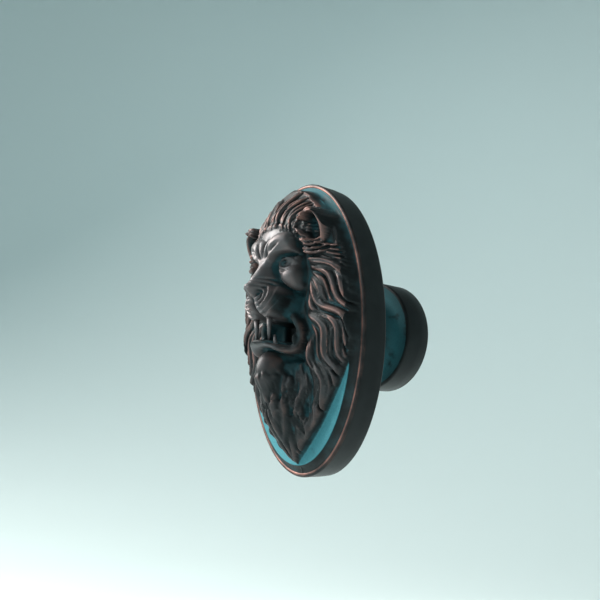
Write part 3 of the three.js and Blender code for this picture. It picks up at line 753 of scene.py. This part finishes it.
def moulding():
    """The rim's section, field to back: inset, distance from the foot's back, crest, hollow."""
    section = []
    for i in range(1, BEVEL_STEPS + 1):
        turn = math.pi / 2 * i / BEVEL_STEPS
        inset = BEVEL_WIDTH - (BEVEL_WIDTH - BEVEL_END) * (1 - math.cos(turn))
        section.append((inset, FIELD_LEVEL - BEVEL_RISE * math.sin(turn), 0.0, BEVEL_SETTLED))
    section += [BEAD_GROOVE, *BEAD_TOP]
    for i in range(1, EDGE_STEPS + 1):
        turn = math.pi / 2 * i / EDGE_STEPS
        inset = EDGE_ROUND * (1 - math.sin(turn))
        section.append((inset, BEAD_CREST - EDGE_ROUND * (1 - math.cos(turn)), EDGE_RUBBED, 0.0))
    section += WALL_RINGS
    for i in range(1, ARRIS_STEPS + 1):
        turn = math.pi / 2 * i / ARRIS_STEPS
        inset = WALL_INSET + BACK_ARRIS * (1 - math.cos(turn))
        crest = ARRIS_RUBBED * (i < ARRIS_STEPS)
        section.append((inset, PLATE_BACK + BACK_ARRIS * (1 - math.sin(turn)), crest, 0.0))
    section += BACK_RINGS
    return section


print("rim rings:", len(moulding()))

# %% Rim and back, with the hair's tips over the bevel
HAIR_INSET = 0.7
HAIR_DROP = 0.2
HAIR_WEAR = 0.3


def ring_point(angle, inset, level):
    """A rim point, lifted where hair tips lie over the bevel, and how far they cover it."""
    x, z = (HALF_WIDTH - inset) * math.cos(angle), (HALF_HEIGHT - inset) * math.sin(angle)
    if inset < HAIR_INSET or level < BEAD_CREST - HAIR_DROP:
        return (x, -level, z), 0.0
    at = np.array([x]), np.array([z])
    cover = float(sample(covered, *at)[0])
    lifted = mix(level, FIELD_LEVEL, cover) + float(sample(relief, *at)[0])
    return (x, -lifted, z), cover


border = [e for e in bm.edges if e.is_boundary]
half_width, half_height = FIELD_HALF_WIDTH, FIELD_HALF_HEIGHT
for inset, level, crest, hollow in moulding():
    out = bmesh.ops.extrude_edge_only(bm, edges=border)["geom"]
    border = [e for e in out if isinstance(e, bmesh.types.BMEdge)]
    for v in (v for v in out if isinstance(v, bmesh.types.BMVert)):
        angle = math.atan2(v.co.z / half_height, v.co.x / half_width)
        v.co, cover = ring_point(angle, inset, level)
        v[rubbed_layer] = mix(crest, HAIR_WEAR, cover)
        # The bevel's verdigris doubles and turns paler towards the top of the oval: painted light on
        # the rim's upper side over the real patina.
        v[green_and_painted_shade_layer] = mix(hollow * (1 + ease(v.co.z / HALF_HEIGHT)), HAIR_WEAR, cover)
        v[grey_and_painted_light_layer] = 0.0
    half_width, half_height = HALF_WIDTH - inset, HALF_HEIGHT - inset
bmesh.ops.triangle_fill(bm, edges=border, use_beauty=True)
bmesh.ops.recalc_face_normals(bm, faces=bm.faces)
print("faces in all:", len(bm.faces))

# %% [markdown]
# ## The fangs
# A fang stands free of the gum, so a height map can't hold it. Each is a cone of its own, set with
# its root buried in the gum, as a modeller presses a pellet of wax into the open mouth.

# %% Fangs
UPPER_FANG = ((1.75, 7.4, 0.9), (1.6, 7.4, -3.4), 0.55)
LOWER_FANG = ((2.3, 6.6, -4.6), (2.2, 6.7, -2.6), 0.45)
FANG_SIDES = 16
FANG_TIP = 0.2
# The fangs take the light grey of the handled skin as a painted sheen.
FANG_PAINTED_SHEEN = 0.8


def fang(root, tip, radius):
    """A cone from (x, height over the field, z) to its tip, with its root buried in the gum."""
    ends = [Vector((x, -FIELD_LEVEL - height, z)) for x, height, z in (root, tip)]
    along = ends[1] - ends[0]
    aimed = along.to_track_quat("Z", "Y").to_matrix().to_4x4()
    place = Matrix.Translation((ends[0] + ends[1]) / 2) @ aimed
    cone = bmesh.ops.create_cone(
        bm, cap_ends=True, segments=FANG_SIDES, radius1=radius, radius2=FANG_TIP,
        depth=along.length, matrix=place,
    )
    # Painted sheen on the fangs.
    for v in cone["verts"]:
        v[grey_and_painted_light_layer] = FANG_PAINTED_SHEEN


for root, tip, radius in (UPPER_FANG, LOWER_FANG):
    for side in (-1, 1):
        fang((side * root[0], *root[1:]), (side * tip[0], *tip[1:]), radius)
print("four fangs, the upper ones", round(math.dist(*UPPER_FANG[:2]), 1), "mm long")

# %% Make the medallion an object


def to_object(name, mesh_in_mm, body="root"):
    """Turns a bmesh in millimetres into a finished object at the origin that rides on a body."""
    bmesh.ops.scale(mesh_in_mm, vec=(MM, MM, MM), verts=mesh_in_mm.verts)
    mesh = bpy.data.meshes.new(name)
    mesh_in_mm.to_mesh(mesh)
    mesh_in_mm.free()
    mesh.shade_smooth()
    piece = bpy.data.objects.new(name, mesh)
    bpy.context.collection.objects.link(piece)
    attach(piece, body)
    return piece


medallion = to_object("lion_medallion", bm)
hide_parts("medallion")
print(medallion.name, len(medallion.data.polygons), "faces")

# %% [markdown]
# ## The turned foot
# The foot came off a lathe, so it is one profile spun round the knob's axis: the hole for the screw,
# the flat back, a straight band, a flat shoulder and a cove that runs into the neck.

# %% Profile of the foot
FOOT_BAND = 4.9
FOOT_EDGE = 0.45
NECK_RADIUS = 5.6
NECK_FLARE = 0.9
FLARE_LENGTH = 2.2
SHOULDER_RADIUS = 7.6
SHOULDER_FILLET = 0.05
COVE_LENGTH = 3.4
BAND_MIDDLE = 2.4
BACK_ROUND = 0.25
SEAT_RADIUS = 6.0
SCREW_RADIUS = 2.05
SCREW_DEPTH = 10.0
SCREW_CHAMFER = 0.3
FLARE_STEPS = 8
COVE_STEPS = 16
BAND_STEPS = 6
# Verdigris on the neck and the cove, in the darker teal near the plate and paler towards the shoulder:
# painted shade where the plate overhangs.
FLARE_GREEN_AND_SHADE = 0.7
COVE_GREEN_AND_SHADE = (0.75, 1.0)
BAND_RUBBED = 0.3
BAND_SETTLED = 0.5


def foot_profile():
    """The foot's section, plate to screw: radius, distance from its back, crest, hollow."""
    section = [(0.0, PLATE_BACK, 0, 0)]
    for i in range(FLARE_STEPS + 1):
        t = i / FLARE_STEPS
        radius = NECK_RADIUS + NECK_FLARE * (1 - math.sin(math.pi / 2 * t))
        level = PLATE_BACK - FLARE_LENGTH * (1 - math.cos(math.pi / 2 * t))
        section.append((radius, level, 0, FLARE_GREEN_AND_SHADE))
    shoulder = FOOT_BAND + FOOT_EDGE
    reach = SHOULDER_RADIUS - NECK_RADIUS
    for i in range(COVE_STEPS + 1):
        turn = math.pi / 2 * i / COVE_STEPS
        radius = NECK_RADIUS + reach * (1 - math.cos(turn))
        hollow = mix(*COVE_GREEN_AND_SHADE, i / COVE_STEPS)
        section.append((radius, shoulder + COVE_LENGTH * (1 - math.sin(turn)), 0, hollow))
    section.append((SHOULDER_RADIUS + SHOULDER_FILLET, shoulder, 0, 1.0))
    section.append((FOOT_RADIUS - FOOT_EDGE - 0.1, shoulder, 0, 0.9))
    for i in range(BAND_STEPS + 1):
        turn = math.pi / 2 * i / BAND_STEPS
        radius = FOOT_RADIUS - FOOT_EDGE * (1 - math.sin(turn))
        level = FOOT_BAND + FOOT_EDGE * math.cos(turn)
        section.append((radius, level, BAND_RUBBED * (i > 1), BAND_SETTLED * (i < 2)))
    section += [(FOOT_RADIUS, BAND_MIDDLE, 0, 0), (FOOT_RADIUS, BACK_ROUND, 0, 0)]
    section += [(FOOT_RADIUS - BACK_ROUND, 0, 0.2, 0), (SEAT_RADIUS, 0, 0, 0)]
    section += [(SCREW_RADIUS + SCREW_CHAMFER, 0, 0, 0), (SCREW_RADIUS, SCREW_CHAMFER, 0.1, 0.2)]
    section += [(SCREW_RADIUS, SCREW_DEPTH, 0, 0.4), (0.0, SCREW_DEPTH, 0, 0.4)]
    return section


print("foot:", len(foot_profile()), "points in its section")

# %% Turn the foot
FOOT_SIDES = 128


def spin_round(turning, line, axis, sides, weld):
    """Joins a line of vertices, spins it once round an axis and welds its seam and its ends."""
    edges = [turning.edges.new(pair) for pair in zip(line, line[1:])]
    bmesh.ops.spin(
        turning, geom=line + edges, axis=axis, cent=(0, 0, 0), angle=2 * math.pi, steps=sides,
        use_merge=True, use_duplicate=False,
    )
    bmesh.ops.remove_doubles(turning, verts=turning.verts, dist=weld)
    bmesh.ops.recalc_face_normals(turning, faces=turning.faces)


turned = bmesh.new()
rubbed_layer = turned.verts.layers.float.new("rubbed")
green_and_painted_shade_layer = turned.verts.layers.float.new("green_and_painted_shade")
profile = []
for radius, level, crest, hollow in foot_profile():
    v = turned.verts.new((radius, -level, 0))
    v[rubbed_layer] = crest
    v[green_and_painted_shade_layer] = hollow
    profile.append(v)
spin_round(turned, profile, (0, 1, 0), FOOT_SIDES, 1e-4)
foot = to_object("turned_foot", turned)
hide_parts("foot")
print(foot.name, len(foot.data.polygons), "faces")

# %% [markdown]
# ## The finish
# Oil-rubbed bronze is a dark brown-black skin that a chemical bath leaves on cast metal. Handling
# rubs it through to copper on the crests, and fingers leave a dull grey on the face. What sits in the
# hollows and on the flat field is verdigris, a teal film; in the hollows it is a darker teal, as
# painted shade. So four layers are mixed: the dark metal, the grey skin, the bright copper and the
# matt teal. Their masks come from the crests and hollows and also carry the painted shade, and the
# copper's and the teal's are broken up by noise at the size of real wear.

# %% Colour and node helpers


def linear(code):
    """An sRGB hex code as linear red, green, blue and alpha."""
    values = [int(code[i : i + 2], 16) / 255 for i in (1, 3, 5)]
    return [v / 12.92 if v <= 0.04045 else ((v + 0.055) / 1.055) ** 2.4 for v in values] + [1.0]


def add(tree, kind, links=(), **settings):
    """Adds a node, sets its attributes and its sockets by name or number, and links its inputs."""
    node = tree.nodes.new(kind)
    for key, value in settings.items():
        if hasattr(node, key):
            setattr(node, key, value)
        else:
            socket = int(key[1:]) if key[1:].isdigit() else key.replace("_", " ")
            node.inputs[socket].default_value = value
    for socket, source in dict(links).items():
        tree.links.new(source, node.inputs[socket])
    return node


print("teal is", [round(v, 3) for v in linear("#3a8089")])

# %% Colours and sizes of the finish
COPPER = "#7a5850"
DARK_BRONZE = "#101517"
BROWN_BRONZE = "#212526"
PEWTER = "#4c5357"
ROSY_PEWTER = "#5c5150"
# A darker copy of the verdigris, as painted shade: the hollows, the ear, the mouth and the shaded
# places take it, and only the open flats take the paler film.
PAINTED_SHADE_TEAL = "#13373d"
VERDIGRIS = "#245e68"
PALE_VERDIGRIS = "#3c7882"

# Wear comes in patches of a few millimetres. The real grain of the casting sand is about 0.1 mm,
# too fine for the render, so it is drawn two to three times coarser.
WEAR_SIZE = 2.2
GRAIN_SIZE = 0.25
GRAIN_DEPTH = 0.02
GRAIN_STRENGTH = 0.25

# Bare metal is satin and the film is matt. The dark skin dulls the metal, so it isn't fully metallic.
METAL_SHARE = 0.65
METAL_ROUGHNESS = 0.42
FILM_ROUGHNESS = 0.75
GRAIN_ROUGHNESS = 0.12
SHEEN = 0.3
OPEN_FIELD_RANGE = (0.8, 1.05)
print("wear in patches of", WEAR_SIZE, "mm, grain of", GRAIN_SIZE, "mm")

# %% Aged bronze


def aged_bronze(name, rubbed_range, settled_range):
    """Oil-rubbed cast bronze: dark satin metal, copper on the crests, matt verdigris in the hollows."""
    material = bpy.data.materials.new(name)
    material.use_nodes = True
    tree = material.node_tree
    shader = tree.nodes["Principled BSDF"]
    where = {"Vector": add(tree, "ShaderNodeTexCoord").outputs["Object"]}
    wear, grain = (
        add(tree, "ShaderNodeTexNoise", where, Scale=1 / (size * MM), Detail=detail).outputs["Fac"]
        for size, detail in ((WEAR_SIZE, 4.0), (GRAIN_SIZE, 3.0))
    )
    rubbed, green_and_painted_shade, grey_and_painted_light = (
        add(tree, "ShaderNodeAttribute", attribute_name=layer).outputs["Fac"]
        for layer in ("rubbed", "green_and_painted_shade", "grey_and_painted_light")
    )

    masks = []
    for layer, (low, high) in ((rubbed, rubbed_range), (green_and_painted_shade, settled_range)):
        broken = add(tree, "ShaderNodeMath", {0: layer, 1: wear}, operation="MULTIPLY").outputs[0]
        mask = add(
            tree, "ShaderNodeMapRange", {"Value": broken}, interpolation_type="SMOOTHSTEP",
            _1=low, _2=high,
        )
        masks.append(mask.outputs[0])
    copper_mask, teal_mask = masks

    dark = add(
        tree, "ShaderNodeMix", {"Factor": wear}, data_type="RGBA",
        _6=linear(DARK_BRONZE), _7=linear(BROWN_BRONZE),
    )
    skin = add(
        tree, "ShaderNodeMix", {"Factor": wear}, data_type="RGBA",
        _6=linear(PEWTER), _7=linear(ROSY_PEWTER),
    )
    # The grey skin over the dark metal, taken out where shade is painted.
    worn_and_shaded = add(
        tree, "ShaderNodeMix", {"Factor": grey_and_painted_light, 6: dark.outputs[2], 7: skin.outputs[2]},
        data_type="RGBA",
    )
    metal = add(
        tree, "ShaderNodeMix", {"Factor": copper_mask, 6: worn_and_shaded.outputs[2]}, data_type="RGBA",
        _7=linear(COPPER),
    )
    film = add(
        tree, "ShaderNodeMix", {"Factor": grain}, data_type="RGBA",
        _6=linear(VERDIGRIS), _7=linear(PALE_VERDIGRIS),
    )
    # Below the open field's range the green is the darker teal of painted shade.
    on_field = add(
        tree, "ShaderNodeMapRange", {"Value": green_and_painted_shade},
        _1=OPEN_FIELD_RANGE[0], _2=OPEN_FIELD_RANGE[1],
    )
    green = add(
        tree, "ShaderNodeMix", {"Factor": on_field.outputs[0], 7: film.outputs[2]}, data_type="RGBA",
        _6=linear(PAINTED_SHADE_TEAL),
    )
    colour = add(
        tree, "ShaderNodeMix", {"Factor": teal_mask, 6: metal.outputs[2], 7: green.outputs[2]},
        data_type="RGBA",
    )
    metallic = add(tree, "ShaderNodeMapRange", {"Value": teal_mask}, _3=METAL_SHARE, _4=0.0)
    rough = add(
        tree, "ShaderNodeMapRange", {"Value": teal_mask}, _3=METAL_ROUGHNESS, _4=FILM_ROUGHNESS
    )
    uneven = add(
        tree, "ShaderNodeMath", {0: grain, 2: rough.outputs[0]}, operation="MULTIPLY_ADD",
        _1=GRAIN_ROUGHNESS,
    )
    bump = add(
        tree, "ShaderNodeBump", {"Height": grain}, Strength=GRAIN_STRENGTH, Distance=GRAIN_DEPTH * MM
    )
    tree.links.new(colour.outputs[2], shader.inputs["Base Color"])
    tree.links.new(metallic.outputs[0], shader.inputs["Metallic"])
    tree.links.new(uneven.outputs[0], shader.inputs["Roughness"])
    tree.links.new(bump.outputs[0], shader.inputs["Normal"])
    shader.inputs["Specular IOR Level"].default_value = SHEEN
    return material


print("aged bronze is mixed from", ["dark metal", "grey skin", "copper", "verdigris"])

# %% Finish the two pieces
RELIEF_RUBBED = (0.12, 0.95)
RELIEF_SETTLED = (0.17, 0.5)
FOOT_RUBBED = (0.22, 0.5)
FOOT_SETTLED = (0.15, 0.45)
medallion.data.materials.append(aged_bronze("aged_bronze_relief", RELIEF_RUBBED, RELIEF_SETTLED))
foot.data.materials.append(aged_bronze("aged_bronze_foot", FOOT_RUBBED, FOOT_SETTLED))
print("finishes:", [m.name for m in bpy.data.materials])

# %% [markdown]
# ## Stage, light and camera
# The knob stands free in the middle of a wide pale dish, a floor that curves up into its own
# backdrop, so every view has the same plain ground behind it. One large soft lamp lights it from the
# upper left, a weaker one in front opens the shadows, and a third brightens the backdrop.

# %% Pale dish
FLOOR_DROP = 0.14
FLOOR_RADIUS = 0.7
DISH_RADIUS = 2.2
DISH_HEIGHT = 2.4
DISH_STEPS = 16
DISH_SIDES = 96
dish = bmesh.new()
line = [dish.verts.new((0, 0, -FLOOR_DROP)), dish.verts.new((FLOOR_RADIUS, 0, -FLOOR_DROP))]
for i in range(1, DISH_STEPS + 1):
    turn = math.pi / 2 * i / DISH_STEPS
    x = FLOOR_RADIUS + (DISH_RADIUS - FLOOR_RADIUS) * math.sin(turn)
    line.append(dish.verts.new((x, 0, -FLOOR_DROP + DISH_HEIGHT * (1 - math.cos(turn)))))
spin_round(dish, line, (0, 0, 1), DISH_SIDES, 1e-5)
bmesh.ops.reverse_faces(dish, faces=dish.faces)
dish_mesh = bpy.data.meshes.new("pale_dish")
dish.to_mesh(dish_mesh)
dish.free()
dish_mesh.shade_smooth()
stage = bpy.data.objects.new("pale_dish", dish_mesh)
bpy.context.collection.objects.link(stage)
print("dish", 2 * DISH_RADIUS, "m across")

# %% Matt paint on the dish
PALE_PAINT = "#d3e1e2"
PAINT_ROUGHNESS = 0.9
# A flat emulsion paint has no gloss, so no lamp shows in the ground.
paint = bpy.data.materials.new("pale_matt_paint")
paint.use_nodes = True
painted = paint.node_tree.nodes["Principled BSDF"].inputs
painted["Base Color"].default_value = linear(PALE_PAINT)
painted["Roughness"].default_value = PAINT_ROUGHNESS
dish_mesh.materials.append(paint)
print("painted", stage.name)

# %% Soft studio light
KNOB_MIDDLE = (0, -0.02, 0)
BACKDROP_SPOT = (-1.7, 1.5, 0.2)
SOFTBOXES = (
    ("key", (-0.55, -0.52, 0.55), 0.6, 26.0, KNOB_MIDDLE, "#fffaf4"),
    ("fill", (0.10, -0.85, 0.45), 0.5, 3.5, KNOB_MIDDLE, "#eef6f8"),
    ("backdrop", (-0.7, 0.8, 1.3), 0.8, 2.6, BACKDROP_SPOT, "#e6f2f2"),
)
ROOM_COLOUR = "#c4d9db"
ROOM_STRENGTH = 0.34


def softbox(name, place, size, watts, target, colour):
    """Hangs a square soft lamp, its size in metres, and aims it at a target."""
    lamp = bpy.data.lights.new(name, "AREA")
    lamp.size = size
    lamp.energy = watts
    lamp.color = linear(colour)[:3]
    holder = bpy.data.objects.new(name, lamp)
    holder.location = place
    aim = Vector(target) - Vector(place)
    holder.rotation_euler = aim.to_track_quat("-Z", "Y").to_euler()
    bpy.context.collection.objects.link(holder)


for lamp_settings in SOFTBOXES:
    softbox(*lamp_settings)
world = bpy.data.worlds.new("soft_room")
world.use_nodes = True
room = world.node_tree.nodes["Background"].inputs
room["Color"].default_value = linear(ROOM_COLOUR)
room["Strength"].default_value = ROOM_STRENGTH
bpy.context.scene.world = world
bpy.context.scene.view_settings.view_transform = "Standard"

# %% Camera at the photograph's angle
AZIMUTH = math.radians(50.42)
ELEVATION = math.radians(-12.12)
CAMERA_PLACE = (0.1013, -0.1052, -0.0238)
LENS = 47.47
SENSOR_WIDTH = 36
NEAREST = 0.005
flat = math.cos(ELEVATION)
back = Vector((math.sin(AZIMUTH) * flat, -math.cos(AZIMUTH) * flat, math.sin(ELEVATION)))
right = Vector((math.cos(AZIMUTH), math.sin(AZIMUTH), 0))
up = back.cross(right)
lens = bpy.data.cameras.new("camera")
lens.sensor_width = SENSOR_WIDTH
lens.lens = LENS
lens.clip_start = NEAREST
camera = bpy.data.objects.new("camera", lens)
facing = Matrix((right, up, back)).transposed().to_4x4()
camera.matrix_world = Matrix.Translation(CAMERA_PLACE) @ facing
bpy.context.collection.objects.link(camera)
bpy.context.scene.camera = camera
print("camera", round(camera.location.length, 3), "m from the knob's foot")
